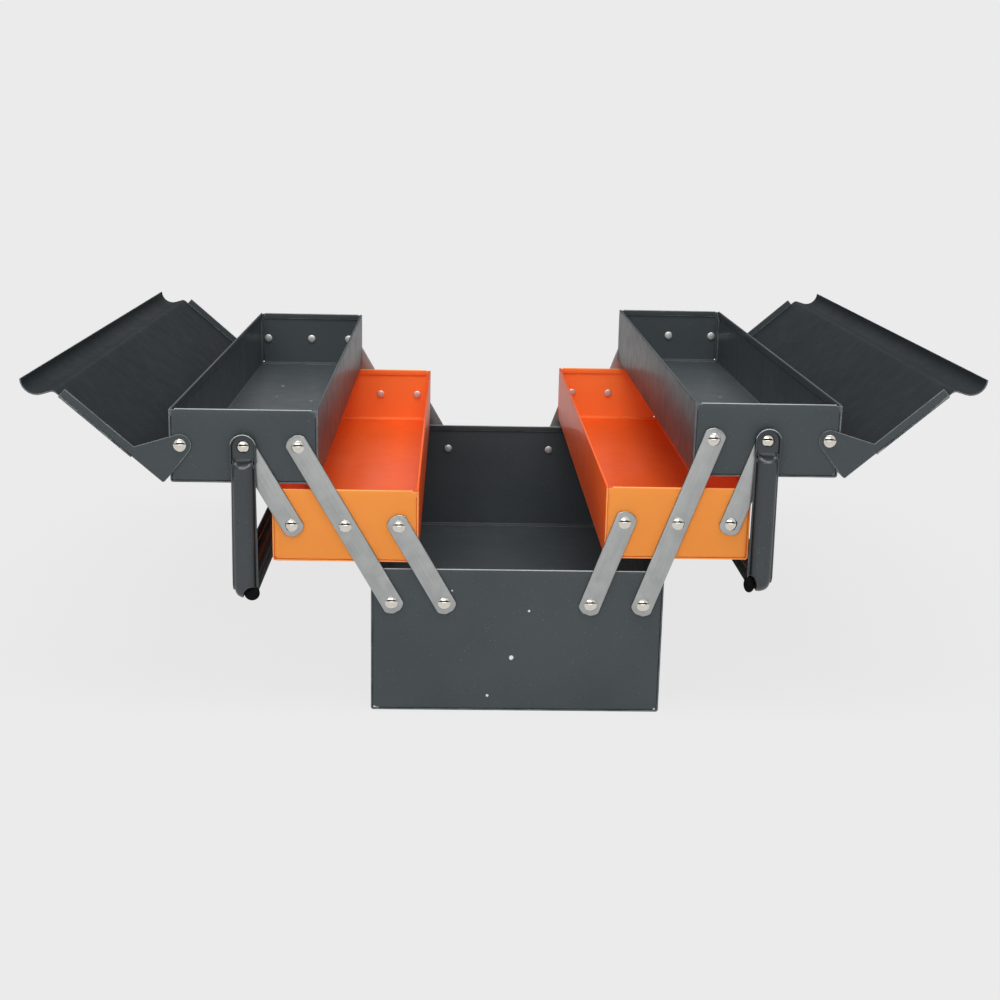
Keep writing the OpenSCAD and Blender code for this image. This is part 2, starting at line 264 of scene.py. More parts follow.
def wrap_in_hull(piece):
    """Replaces a mesh with its convex hull, and joins the hull's flat faces."""
    start_edit(piece, whole=True)
    bpy.ops.mesh.convex_hull()
    end_edit()
    modify(piece, "DECIMATE", decimate_type="DISSOLVE", angle_limit=math.radians(1))


def thicken(piece, thickness=sheet - hair):
    """Gives a folded surface its thickness, half to each side."""
    merge_doubles(piece)
    modify(piece, "SOLIDIFY", thickness=thickness * MM, offset=0, use_even_offset=True)


def ease_edges(piece, width, segments=2, sharper_than=32, smooth_below=34):
    """Rounds the sharp edges a little, as shears, tumbling and paint do, and shades smoothly."""
    modify(piece, "BEVEL", width=width * MM, segments=segments, limit_method="ANGLE",
           angle_limit=math.radians(sharper_than), use_clamp_overlap=True)
    choose(piece)
    bpy.ops.object.shade_smooth_by_angle(angle=math.radians(smooth_below))


def copy_piece(piece, name, move=(0, 0, 0), mirror=(1, 1, 1), turn=(0, 0, 0)):
    """A copy with its own mesh: mirrored by a scale of -1, turned, then moved."""
    choose(piece)
    bpy.ops.object.duplicate(linked=False)
    copied = bpy.context.object
    copied.name = copied.data.name = name
    copied.scale = mirror
    copied.rotation_euler = [math.radians(v) for v in turn]
    copied.location = [v * MM for v in move]
    apply_place(copied)
    return copied


def mark_faces(piece, slot, test):
    """Puts faces in another material slot, for a finish of their own. The test gets each face's
    middle in millimetres and its normal."""
    while len(piece.data.materials) <= slot:
        piece.data.materials.append(None)
    start_edit(piece)
    count = pick("FACE", test, by_normal=True)
    piece.active_material_index = slot
    bpy.ops.object.material_slot_assign()
    end_edit()
    return count


# Slot 0 holds a piece's main finish, and these hold its others.
outer_slot, highlight_slot = 1, 2
inner_slot = side_slot = tail_slot = 1
hollow_shade_slot, tray_side_shade_slot, pad_highlight_slot = 1, 2, 3


def join(name, *pieces):
    choose(*pieces)
    bpy.ops.object.join()
    pieces[0].name = pieces[0].data.name = name
    return pieces[0]


def remove(*pieces):
    for piece in pieces:
        bpy.data.objects.remove(piece)


# %% [markdown]
# ## Tray shells
#
# On the real box a tray's floor and its two long walls are one sheet, folded up twice, and the
# top edge is folded back on itself as a hem, so that the rim is blunt and stiff. The hem stops
# just before the ends, which leaves the small steps seen at the rim's corners. The shell starts
# as a flat floor. Each side edge is spun round the bend, extruded up the wall, spun through
# half a turn, and extruded down the hem's return. The cut ends are marked, because they get the
# same coat as the end plates' outer faces.

# %% Fold a tray shell
def fold_shell(name, width, height):
    half = width / 2
    fold_r = bend_radius - sheet / 2
    shell = add_primitive("plane", name, (0, 0, sheet / 2),
                          (width - 2 * bend_radius, box_length, 1))
    start_edit(shell)
    cut_across(1, front + hem_stop, -front - hem_stop)
    wall = height - sheet - bend_radius
    for hand in (-1, 1):
        edge = hand * (half - bend_radius)
        pick("EDGE", lambda m: close_to(m.x, edge) and close_to(m.z, sheet / 2))
        fold((edge, sheet / 2), 0 if hand > 0 else 180, [(fold_r, 90 * hand), wall], X, Z)
        top = height - sheet
        wall_x = hand * (half - sheet / 2)
        pick("EDGE", lambda m: close_to(m.x, wall_x) and close_to(m.z, top) and close_to(m.y, 0))
        fold((wall_x, top), 90, [(sheet / 2, 180 * hand), hem_depth - sheet], X, Z)
    end_edit()
    thicken(shell)
    ease_edges(shell, edge_ease)
    cut_end = -front - 0.2
    mark_faces(shell, outer_slot, lambda m, n: abs(m.y) > cut_end and abs(n.y) > 0.6)
    print(name, len(shell.data.polygons), "faces")
    return shell


base_shell = fold_shell("base_tray_shell", base_width, base_height)
small_shell = fold_shell("small_tray_shell", tray_width, tray_height)

# %% [markdown]
# ## End plates
#
# An end plate is a sheet with rounded lower corners. Its sides and bottom are turned in as
# flanges, which are welded inside the shell, and its top has a hem. The turned edge is round, so
# a fine groove shows where it meets the edge of the shell. It is made from a standing plane:
# the lower corners are bevelled, the edges are extruded inwards, and the fold is bevelled round.
# On the small trays a tiny hole in each lower corner keeps the sheet from tearing as it is
# folded. The top of the hem is marked for a finish of its own: a pale painted highlight, for the
# light that its round top catches.

# %% Fold an end plate
fold_radius = 1.0
hole_inset, hole_rise, hole_radius = 0.9, 1.0, 0.6
face_depth, highlight_depth, flange_gap = 1.6, 0.5, 0.5


def fold_end(name, width, height, corner_holes=False):
    half = width / 2 - sheet * 1.5
    low, high = sheet * 1.5, height - sheet
    flange_top = height - hem_depth - flange_gap
    face_y = front + sheet / 2

    def on_outline(m):
        in_corner = m.z < low + bend_radius and abs(m.x) > half - bend_radius
        return in_corner or close_to(m.z, low) or close_to(abs(m.x), half)

    end = add_primitive("plane", name, (0, face_y, (low + high) / 2), (2 * half, high - low, 1),
                        (90, 0, 0))
    start_edit(end)
    pick("VERT", lambda m: close_to(m.z, low))
    bpy.ops.mesh.bevel(offset=(bend_radius - sheet / 2) * MM, segments=4, affect="VERTICES")
    cut_across(2, flange_top)
    cut_across(0, -half + hem_stop, half - hem_stop)
    pick("EDGE", lambda m: on_outline(m) and m.z < flange_top)
    extrude(y=end_flange - sheet / 2)
    pick("EDGE", lambda m: on_outline(m) and m.z < flange_top - flange_gap
         and close_to(m.y, face_y))
    bpy.ops.mesh.bevel(offset=fold_radius * MM, segments=4, affect="EDGES")
    pick("EDGE", lambda m: close_to(m.z, high) and abs(m.x) < half - hem_stop)
    fold((face_y, high), 90, [(sheet / 2, -180), hem_depth - sheet], Y, Z)
    end_edit()
    thicken(end)
    for hand in (-1, 1) if corner_holes else ():
        hole_place = (hand * (half - hole_inset), face_y, low + hole_rise)
        hole = add_primitive("cylinder", "hole", hole_place, (hole_radius, hole_radius, 2),
                             (90, 0, 0), vertices=16)
        modify(end, "BOOLEAN", operation="DIFFERENCE", object=hole, solver="EXACT")
        remove(hole)
    ease_edges(end, edge_ease)
    mark_faces(end, outer_slot, lambda m, n: m.y < front + face_depth and n.y < -0.05)
    # The hem's top gets a pale painted highlight.
    highlighted = mark_faces(end, highlight_slot, lambda m, n: m.z > height - highlight_depth)
    print(name, len(end.data.polygons), "faces,", highlighted, "of them rubbed")
    return end


base_end = fold_end("base_end_plate", base_width, base_height)
small_end = fold_end("small_end_plate", tray_width, tray_height, corner_holes=True)

# %% [markdown]
# ## Arms
#
# The arms are flat steel bars with round ends, blanked in a press and then plated. A press
# leaves one edge slightly rounded, and that edge is what catches the light as a fine bright
# line. Each bar starts as a block. Its end faces are extruded and narrowed in steps, and its
# edges are then eased.

# %% Press an arm
arm_width, arm_thickness, arm_gap = 14.5, 1.5, 0.3
arm_ease = 0.42
# The round end as (millimetres past the rivet, share of the full width).
end_steps = [(3.4, 1.0), (4.6, 0.93), (5.9, 0.75), (7.0, 0.53), (7.7, 0.29)]


def press_arm(name, length):
    start_x = end_steps[0][0]
    bar = add_primitive("cube", name, (length / 2, front - arm_gap - arm_thickness / 2, 0),
                        (length + 2 * start_x, arm_thickness, arm_width))
    start_edit(bar)
    for hand, tip in ((-1, -start_x), (1, length + start_x)):
        pick("FACE", lambda m: close_to(m.x, tip))
        for (x, scale), (next_x, next_scale) in zip(end_steps, end_steps[1:]):
            extrude(x=hand * (next_x - x))
            bpy.ops.transform.resize(value=(1, 1, next_scale / scale),
                                     center_override=(0, front * MM, 0))
    end_edit()
    ease_edges(bar, arm_ease, segments=3)
    # The sheared sides get a rougher finish, darkened as painted shade.
    sheared_sides = mark_faces(bar, side_slot, lambda m, n: abs(n.y) < 0.3)
    print(name, len(bar.data.polygons), "faces,", sheared_sides, "of them sheared")
    return bar


long_bar = press_arm("long_bar", 2 * arm_pitch)
short_bar = press_arm("short_bar", arm_pitch)

# %% [markdown]
# ## Rivets
#
# Each joint turns on a nickel-plated rivet: a domed head outside, a shank through the arm and
# the plate, and a smaller head closed over inside. A sphere is cut to a cap for the outer head.
# Its flat face is inset to the shank's width, extruded through the joint, and widened again
# into the inner head.

# %% Make a rivet for each reach
shank_radius, head_radius, head_height = 2.5, 4.25, 2.2
head_rim = 0.6  # the straight edge of the outer head, under its dome
play = 0.1  # between a rivet's head and what it holds
rivet_ease = 0.12
# The closed inner head as (radius, rise from the step before).
tail_steps = [(3.7, 0), (3.7, 0.5), (3.45, 0.35), (2.95, 0.2)]


def make_rivet(name, reach):
    """A rivet through the front plate at x = z = 0, its head starting at a reach from it."""
    dome_height = head_height - head_rim
    ball = (head_radius ** 2 + dome_height ** 2) / (2 * dome_height)
    seat = front - reach - head_rim
    rivet = add_primitive("uv_sphere", name, (0, seat - dome_height + ball, 0),
                          (ball, ball, ball), (90, 0, 0), segments=40, ring_count=40)
    start_edit(rivet, whole=True)
    bpy.ops.mesh.bisect(plane_co=(0, seat * MM, 0), plane_no=(0, 1, 0), use_fill=True,
                        clear_outer=True, threshold=1e-6)
    pick("FACE", lambda m: close_to(m.y, seat, 0.02) and Vector((m.x, m.z)).length < 0.05)
    extrude(y=head_rim)
    bpy.ops.mesh.inset(thickness=(head_radius - shank_radius) * MM)
    extrude(y=reach + sheet)
    radius = shank_radius
    for next_radius, rise in tail_steps:
        extrude(y=rise)
        scale = next_radius / radius
        bpy.ops.transform.resize(value=(scale, 1, scale), center_override=(0, front * MM, 0))
        radius = next_radius
    end_edit()
    ease_edges(rivet, rivet_ease, sharper_than=50, smooth_below=40)
    print(name, len(rivet.data.polygons), "faces")
    return rivet


pad_gap, handle_sheet = 0.3, 1.2
pad_reach = arm_gap + arm_thickness + pad_gap
lid_y = 0.2 + sheet  # from the tray's end to the outer face of the lid's ear
arm_rivet = make_rivet("arm_rivet", arm_gap + arm_thickness + play)
handle_rivet = make_rivet("handle_rivet", pad_reach + handle_sheet + play)
lid_rivet = make_rivet("lid_rivet", lid_y + play)

# %% [markdown]
# ## Lids
#
# A lid is one sheet. Its outer side is turned down, its inner edge rises and rolls over as a lip
# that covers the gap when the box is shut, and a flange at each end runs down to the ear that
# the lid turns on. It is folded here as it lies when shut, with the rivet at x = z = 0, and
# turned open afterwards. The two lids are mirror images.

# %% Fold a lid
lid_lift, side_gap, tray_gap, lip_width = 2.6, 0.4, 0.6, 9
lid_top = tray_height - pivot_height + lid_lift
lid_side = lid_inset + side_gap + sheet
lid_flat = tray_width + tray_gap - lid_inset - lip_width
lip_rise, lip_fall = 58, 48
lip_foot_radius, lip_straight, lip_crest_radius = 3, 6, 11
side_flange, end_flange_depth, elbow = 6.8, 6.1, 21.8
ear_radius, ear_top_height, ear_top_drop = 7.3, 5.7, 3.25
ear_corner_width, ear_corner_height = 2, 4
lid_edge_radius = 0.8
strip_ease = 0.05  # the strip stays this far inside the flange's outline, under the eased edge


def fold_lid(name):
    corner_r = bend_radius - sheet / 2
    z = lid_top - sheet / 2
    outer, inner = lid_side - bend_radius, -lid_flat
    length = box_length + 2 * lid_y
    lid = add_primitive("plane", name, ((outer + inner) / 2, 0, z), (outer - inner, length, 1))
    start_edit(lid)
    pick("EDGE", lambda m: close_to(m.x, outer))
    fold((outer, z), 0, [(corner_r, -90), side_flange - bend_radius], X, Z)
    pick("EDGE", lambda m: close_to(m.x, inner) and close_to(m.z, z))
    fold((inner, z), 180, [(lip_foot_radius + sheet / 2, -lip_rise), lip_straight,
                           (lip_crest_radius - sheet / 2, lip_rise + lip_fall)], X, Z)
    end_edit()
    thicken(lid)
    return lid


def lid_end(name):
    """The end flange: a long strip, a round nose, and the ear, each as the hull of its ends."""
    y = front - lid_y + sheet / 2
    corner_x = lid_side - ear_corner_width / 2
    nose = end_flange_depth / 2
    ear = add_primitive("cylinder", name, (0, y, 0), (ear_radius, ear_radius, sheet),
                        (90, 0, 0), vertices=64)
    top = add_primitive("cube", "ear_top", ((corner_x - elbow) / 2, y, lid_top - ear_top_drop),
                        (corner_x + elbow, sheet, ear_top_height))
    corner = add_primitive("cube", "ear_corner", (corner_x, y, lid_top - ear_corner_height),
                           (ear_corner_width, sheet, ear_corner_height))
    ear = join(name, ear, top, corner)
    strip = add_primitive("cube", "strip", ((-elbow - lid_flat) / 2 + nose, y, lid_top - nose),
                          (lid_flat - elbow, sheet, end_flange_depth - 2 * strip_ease))
    tip = add_primitive("cylinder", "tip", (-lid_flat + 2 * nose, y, lid_top - nose),
                        (nose - strip_ease, nose - strip_ease, sheet), (90, 0, 0),
                        vertices=32)
    strip = join("strip", strip, tip)
    for part in (ear, strip):
        wrap_in_hull(part)
    return ear, strip


lid_sheet = fold_lid("lid_sheet")
ear, strip = lid_end("lid_ear")
for part in (ear, strip):
    modify(lid_sheet, "BOOLEAN", operation="UNION", object=part, solver="EXACT")
    rear_part = copy_piece(part, "rear_part", mirror=(1, -1, 1))
    modify(lid_sheet, "BOOLEAN", operation="UNION", object=rear_part, solver="EXACT")
    remove(rear_part)
remove(ear, strip)
merge_doubles(lid_sheet)
start_edit(lid_sheet)
pick("EDGE", lambda m: abs(m.y) > -front + lid_y - 0.02 and close_to(m.z, lid_top)
     and -lid_flat < m.x < lid_side - bend_radius)
bpy.ops.mesh.bevel(offset=lid_edge_radius * MM, segments=4, affect="EDGES")
end_edit()
ease_edges(lid_sheet, edge_ease)


def inside_lid(m, normal):
    """True for the faces that look into the box when the lid is shut. Those of the lip look
    towards a core line below it."""
    if m.x >= -lid_flat:
        return normal.z < -0.5 and m.z > lid_top - sheet - 0.3
    core = Vector((-lid_flat, 0, lid_top - sheet - lip_crest_radius - 4))
    return abs(normal.y) < 0.6 and (core - Vector((m.x, 0, m.z))).dot(normal) > 0


print("lid", len(lid_sheet.data.polygons), "faces,",
      mark_faces(lid_sheet, inner_slot, inside_lid), "of them inside")

# %% [markdown]
# ## Handles
#
# A handle is a bail pressed from sheet: a half-round channel with flared edges that runs down
# from the pad, round the corner, along the grip, and up again. The grip's walls are deeper. The
# pads are dished round the rivets, and a notch in each corner lets the sheet turn without
# tearing. Behind each notch sits a dark tongue of the grip, a near-black shape that is painted
# shade for the hollow behind the notch. The notches of the two handles differ a little. A circle
# is cut to a half-round section, its ends are drawn out as flares, and the section is folded
# along the bail's path.

# %% Sweep the bail's channel
handle_reach, corner_radius, corner_run = 105.5, 10.5, 10
pad_radius, rim_height, neck_end = 8.75, 4.2, 14.5
channel_depth, half_web, channel_sheet = 6.4, 6.7, 1.1
head_gap = 0.4  # between the channel and the heads of the lid's rivets, which it swings past
channel_back = front - (lid_y + play + head_height + head_gap)
arc_y, arc_depth = channel_back - 0.7, channel_depth - 1.3  # the section's half-round part
flares = [(0.25, 0.3), (1.0, 0.25)]  # (outwards, back) for each step of an edge
turn_y, turn_z = channel_back - channel_depth + corner_radius, corner_radius - handle_reach


def sweep_bail(name):
    bail = add_primitive("circle", name, (0, arc_y, -neck_end), (half_web, arc_depth, 1),
                         vertices=32, fill_type="NOTHING")
    start_edit(bail)
    pick("VERT", lambda m: m.y > arc_y + 0.1)
    bpy.ops.mesh.delete(type="VERT")
    for hand in (-1, 1):
        pick("VERT", lambda m: close_to(m.x, hand * half_web))
        for outwards, back in flares:
            bpy.ops.mesh.extrude_vertices_move(
                TRANSFORM_OT_translate={"value": (hand * outwards * MM, back * MM, 0)})
    bpy.ops.mesh.select_mode(type="EDGE")
    bpy.ops.mesh.select_all(action="SELECT")
    straight = -neck_end - turn_z - corner_run
    corner = (corner_radius, 90)
    fold((turn_y - corner_radius, -neck_end), -90,
         [straight, corner_run, corner, -2 * turn_y, corner, corner_run, straight], Y, Z)
    end_edit()
    return bail


# %% Deepen the grip's walls
grip_depth, wall_fillet, wall_lean = 15, 9.0, 0.4
wall_y, wall_top = channel_back - 0.15, grip_depth - handle_reach  # the open edge, the grip's top
fillet_y, fillet_z = wall_y + wall_fillet, wall_top + wall_fillet
flare_x = half_web + 1.25
corner_top = -neck_end - 60  # all of the channel's corners and the grip lie below this
above_bend = 0.3  # the share of the fillet that is drawn by the edge above the channel's bend


def fillet_share(y, z):
    """How far round the fillet a point of the open edge goes, from 0 to 1."""
    if close_to(y, wall_y, 0.3) and z > turn_z - 0.01:
        return max(0, (fillet_z - z) / (fillet_z - turn_z)) * above_bend
    angle = math.atan2(turn_z - z, turn_y - y)
    return above_bend + (1 - above_bend) * max(0, min(1, angle / (math.pi / 2)))


def raise_edge(y, z):
    """The new place of a point of the open edge, on the wall, its top or the fillet."""
    if z > fillet_z:
        return wall_y, z
    if y > turn_y + 0.01:
        return y, wall_top
    turn = fillet_share(y, z) * math.pi / 2
    return fillet_y - wall_fillet * math.cos(turn), fillet_z - wall_fillet * math.sin(turn)


def deepen_grip(bail):
    """Draws the open edges of the grip up to its full depth, with a round inside corner."""
    start_edit(bail)
    pick("EDGE", lambda m: close_to(abs(m.x), flare_x) and m.z < corner_top
         and (m.z < wall_top or abs(m.y) > -wall_y - 1))
    extrude()
    mesh = bmesh.from_edit_mesh(bail.data)
    for vertex in [v for v in mesh.verts if v.select]:
        y, z = raise_edge(-abs(vertex.co.y / MM), vertex.co.z / MM)
        vertex.co.y = math.copysign(y * MM, vertex.co.y)
        vertex.co.z = z * MM
        vertex.co.x -= math.copysign(wall_lean * MM, vertex.co.x)
    bmesh.update_edit_mesh(bail.data)
    end_edit()


# %% Shoulders
recess_y = front - pad_reach - handle_sheet
rim_y = front - pad_reach - rim_height
shoulder_top, shoulder_steps, widening = -8.6, 10, 0.09
hollow_half, hollow_growth = 3.5, 3.3
sunk_y, crease_y = recess_y + 0.75, rim_y + 0.2


def sink_shoulder(vertex, share):
    """Moves a point of the shoulder, at a share of the way up from the channel to the pad."""
    x, y = vertex.co.x / MM, -abs(vertex.co.y / MM)
    in_front = y < channel_back
    side = crease_y if y < rim_y else y
    y += (side - y) * share ** 1.5
    sunk = share * share * (3 - 2 * share)
    middle = (channel_back - channel_depth) * (1 - sunk) + sunk_y * sunk
    half = hollow_half + hollow_growth * share
    if in_front and abs(x) < half:
        y = middle + (y - middle) * (abs(x) / half) ** 3
    vertex.co.y = math.copysign(y * MM, vertex.co.y)
    vertex.co.x *= 1 + widening * share / shoulder_steps


def add_shoulders(bail):
    """The channel's top ends are drawn up. Their middle sinks softly into the pad's recess, and
    a crease is left at each side, where the walls go over into the pad's rim."""
    start_edit(bail)
    for hand in (-1, 1):
        pick("EDGE", lambda m: close_to(m.z, -neck_end) and m.y * hand > 0)
        for step in range(1, shoulder_steps + 1):
            extrude(z=(shoulder_top + neck_end) / shoulder_steps)
            mesh = bmesh.from_edit_mesh(bail.data)
            for vertex in (v for v in mesh.verts if v.select):
                sink_shoulder(vertex, step / shoulder_steps)
            bmesh.update_edit_mesh(bail.data)
    end_edit()


# %% Pads
block_height, toe_height, toe_overlap, toe_gap = 11, 1, 0.6, 0.2
pad_rim, pad_ease = 1.1, 0.5
dish_taper = (0.94, 1, 0.97)


def press_pad(name):
    """A dished pad: the hull of a disc and two blocks, its face inset and pressed in. The lower
    block, the toe, is hidden inside the channel."""
    y = front - pad_reach - rim_height / 2
    toe_z = -neck_end - toe_overlap + toe_height / 2
    pad = add_primitive("cylinder", name, (0, y, 0), (pad_radius, pad_radius, rim_height),
                        (90, 0, 0), vertices=64)
    block = add_primitive("cube", "block", (0, y, -block_height / 2),
                          (2 * pad_radius, rim_height, block_height))
    toe = add_primitive("cube", "toe", (0, y, toe_z),
                        (2 * half_web - 2 * toe_gap, rim_height, toe_height))
    pad = join(name, pad, block, toe)
    wrap_in_hull(pad)
    start_edit(pad)
    pick("FACE", lambda m: close_to(m.y, rim_y))
    bpy.ops.mesh.inset(thickness=pad_rim * MM)
    extrude(y=rim_height - handle_sheet)
    bpy.ops.transform.resize(value=dish_taper, center_override=(0, y * MM, 0))
    end_edit()
    ease_edges(pad, pad_ease, segments=4)
    return pad


# %% Notches and tongues
# A notch is (x, half its width, top), and a tongue is its middle and its half sizes.
notches = {"left": (-4.3, 6.0, -95.6), "right": (-6.0, 3.8, -92.8)}
tongues = {"left": ((-4.2, -251.6, -100.8), (5.3, 3.6, 5.2)),
           "right": ((-6.6, -250.6, -99.8), (3.9, 4.2, 6.0))}
notch_foot, notch_through = 6, 20
nick_inset, nick_half_width, nick_half_height, nick_through = 0.6, 1.3, 1.6, 30
channel_ease = 0.25


def cut_notches(bail, side):
    """Cuts a wide notch, with a small nick at its side, in both lower corners."""
    x, half_width, top = notches[side]
    low = -handle_reach - notch_foot
    for hand in (-1, 1):
        y = hand * (channel_depth - channel_back)
        for place, span in (((x, y, (top + low) / 2),
                             (half_width, (top - low) / 2, notch_through)),
                            ((x + half_width - nick_inset, y, -handle_reach),
                             (nick_half_width, nick_half_height, nick_through))):
            notch = add_primitive("cylinder", "notch", place, span, (90, 0, 0), vertices=40)
            modify(bail, "BOOLEAN", operation="DIFFERENCE", object=notch, solver="EXACT")
            remove(notch)


# %% Where the handles' finish changes
# The hollow and the tongues take a near-black painted shade, the side towards the trays a dark
# painted shade, and the top of the pad's rim a painted highlight.
hollow_top, hollow_run, hollow_half_width = -88, 18, 7.6
side_bottom, side_top, side_outer, side_inner = -105, -30, -8.5, -6.5


def in_hollow(m, normal):
    """True for faces that look into the channel near a corner or along the grip's ends."""
    y, z = -abs(m.y), m.z
    core = corner_radius - channel_depth + 2
    if z > turn_z:
        centre = (turn_y - core, z)
    elif y > turn_y:
        centre = (y, turn_z - core)
    else:
        turn = math.atan2(turn_z - z, turn_y - y)
        centre = (turn_y - core * math.cos(turn), turn_z - core * math.sin(turn))
    inwards = Vector((-m.x, math.copysign(centre[0], m.y) - m.y, centre[1] - z))
    near_corner = z < hollow_top and y < turn_y + hollow_run and abs(m.x) < hollow_half_width
    return near_corner and inwards.dot(normal) > 0


def towards_tray(m, normal):
    """True for the flat of the channel's side that faces the trays."""
    return normal.x < -0.75 and side_bottom < m.z < side_top and side_outer < m.x < side_inner


def on_pad_top(m, normal):
    """True for the upper edge of a pad's rim, which takes a pale painted highlight."""
    on_rim = abs(m.y) > -rim_y - 0.9 and Vector((m.x, m.z)).length > pad_radius - 1.4
    return on_rim and m.z > 1.5 and normal.z > 0.15


# %% Make the handles
def make_bail(side):
    """The whole handle of one side, with its notches, pads and tongues."""
    bail = copy_piece(channel, side + "_channel")
    cut_notches(bail, side)
    ease_edges(bail, channel_ease, sharper_than=40, smooth_below=42)
    pads = [copy_piece(pad, "pad", mirror=(1, hand, 1)) for hand in (1, -1)]
    bail = join(side + "_bail_shape", bail, *pads)
    place, span = tongues[side]
    for hand in (1, -1):
        tongue = add_primitive("uv_sphere", "tongue", (place[0], hand * place[1], place[2]), span,
                               segments=32, ring_count=20)
        bpy.ops.object.shade_smooth()
        bail = join(side + "_bail_shape", bail, tongue)

    def on_tongue(m, normal):
        """True on the tongue's own surface, which is where this sum is 1."""
        offset = (m.x - place[0], -abs(m.y) - place[1], m.z - place[2])
        return 0.93 < sum((v / reach) ** 2 for v, reach in zip(offset, span)) < 1.005

    # Painted shade goes on the hollow, the tongues and the side towards the trays, and a painted
    # highlight on the pad's top.
    mark_faces(bail, hollow_shade_slot, in_hollow)
    mark_faces(bail, hollow_shade_slot, on_tongue)
    mark_faces(bail, tray_side_shade_slot, towards_tray)
    mark_faces(bail, pad_highlight_slot, on_pad_top)
    print(side, "bail", len(bail.data.polygons), "faces")
    return bail


channel = sweep_bail("channel")
deepen_grip(channel)
add_shoulders(channel)
thicken(channel, channel_sheet)
pad = press_pad("pad")
bails = {side: make_bail(side) for side in out}
remove(channel, pad)

# %% [markdown]
# ## Putting the pieces in place
#
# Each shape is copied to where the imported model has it, takes that node's place and moves with
# its body.

# %% Names, slots and bodies
groups = {"grey": [], "orange": [], "zinc": [], "nickel": []}


def settle(piece, node, body, finish):
    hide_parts(node)
    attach(piece, body)
    groups[finish].append(piece)


def place_tray(shell, end, node, body, x, z, finish):
    for shape, ending, node_ending, mirror in ((shell, "_folded_shell", "_shell", (1, 1, 1)),
                                               (end, "_front_plate", "_front_end", (1, 1, 1)),
                                               (end, "_rear_plate", "_rear_end", (1, -1, 1))):
        piece = copy_piece(shape, node + ending, (x, 0, z), mirror)
        settle(piece, node + node_ending, body, finish)


def place_rivets(rivet, node, body, spots):
    copies = [copy_piece(rivet, "rivet", (x, 0, z), mirror)
              for mirror in ((1, 1, 1), (1, -1, 1)) for x, z in spots]
    rivets = join(node + "_domed", *copies)
    mark_faces(rivets, tail_slot, lambda m, n: abs(m.y) < -front - sheet + 0.05)
    settle(rivets, node, body, "nickel")


def place_arms(side, kind, bar, foot):
    k = out[side]
    for end, mirror in (("front", 1), ("rear", -1)):
        node = f"{side}_{end}_{kind}_arm"
        arm = copy_piece(bar, node + "_bar", (k * foot[0], 0, foot[1]), (1, mirror, 1),
                         (0, -90 + k * lean[side], 0))
        settle(arm, node, f"{side}_{kind}_arms", "zinc")


# %% Base tray
place_tray(base_shell, base_end, "base", "base", 0, 0, "grey")
foot_x, foot_z = base_pivot
inner_foot_x = foot_x - rivet_spacing
place_rivets(arm_rivet, "base_rivets", "base",
             [(x, foot_z) for x in (-foot_x, -inner_foot_x, inner_foot_x, foot_x)])
print(len(groups["grey"]), "grey pieces")

# %% Side trays, lids, handles and arms
for side, k in out.items():
    x, z = k * middle_pivot[side][0], middle_pivot[side][1]
    body = side + "_middle_tray"
    place_tray(small_shell, small_end, side + "_middle", body, x, z - pivot_height, "orange")
    place_rivets(arm_rivet, side + "_middle_rivets", body,
                 [(x - rivet_spacing, z), (x, z), (x + rivet_spacing, z)])
    inner_x, z = k * upper_pivot[side][0], upper_pivot[side][1]
    outer_x = inner_x + k * rivet_spacing
    lid_x = outer_x + k * (tray_width / 2 - lid_inset)
    body = side + "_upper_tray"
    place_tray(small_shell, small_end, side + "_upper", body, outer_x, z - pivot_height, "grey")
    place_rivets(arm_rivet, side + "_upper_arm_rivets", body, [(inner_x, z)])
    place_rivets(handle_rivet, side + "_handle_rivets", body, [(outer_x, z)])
    place_rivets(lid_rivet, side + "_lid_rivets", body, [(lid_x, z)])
    lid = copy_piece(lid_sheet, side + "_folded_lid", (lid_x, 0, z), (k, 1, 1),
                     (0, k * lid_angle, 0))
    settle(lid, side + "_lid", side + "_lid", "grey")
    handle = copy_piece(bails[side], side + "_bail", (outer_x, 0, z), (k, 1, 1))
    settle(handle, side + "_handle", side + "_handle", "grey")
    place_arms(side, "long", long_bar, base_pivot)
    place_arms(side, "lower", short_bar, (inner_foot_x, foot_z))
    place_arms(side, "upper", short_bar,
               (middle_pivot[side][0] + rivet_spacing, middle_pivot[side][1]))
remove(base_shell, small_shell, base_end, small_end, long_bar, short_bar, arm_rivet,
       handle_rivet, lid_rivet, lid_sheet, *bails.values())

# %% [markdown]
# ## Studio
#
# The picture has an even pale background with almost no shadow. The world gives that colour to
# the camera, to metal and to glass, and a softer light to everything else. The floor fades into
# it with distance, so that no horizon shows, and keeps a soft shadow under the box.

# %% Colours and nodes
def linear(hex_colour):
    """An sRGB hex colour as the linear values that Blender uses."""
    channels = [int(hex_colour[i:i + 2], 16) / 255 for i in (1, 3, 5)]
    return (*[c / 12.92 if c <= 0.04045 else ((c + 0.055) / 1.055) ** 2.4 for c in channels], 1)


def add_node(tree, kind, inputs=None, **settings):
    """Adds a node to a tree, sets it up, and links or fills its inputs. A node that is given as
    an input stands for its first output."""
    node = tree.nodes.new("ShaderNode" + kind)
    for name, value in settings.items():
        setattr(node, name, value)
    for name, value in (inputs or {}).items():
        if isinstance(value, bpy.types.Node):
            value = value.outputs[0]
        if isinstance(value, bpy.types.NodeSocket):
            tree.links.new(value, node.inputs[name])
        else:
            node.inputs[name].default_value = value
    return node


def start_material(name):
    """A new material, the function that adds a node to it, and the place on the object."""
    material = bpy.data.materials.new(name)
    material.use_nodes = True
    material.node_tree.nodes.clear()
    node = partial(add_node, material.node_tree)
    return material, node, node("TexCoord").outputs["Object"]


def finish_material(material, node, inputs):
    node("OutputMaterial", {"Surface": node("BsdfPrincipled", inputs)})
    print(material.name, len(material.node_tree.nodes), "nodes")
    return material


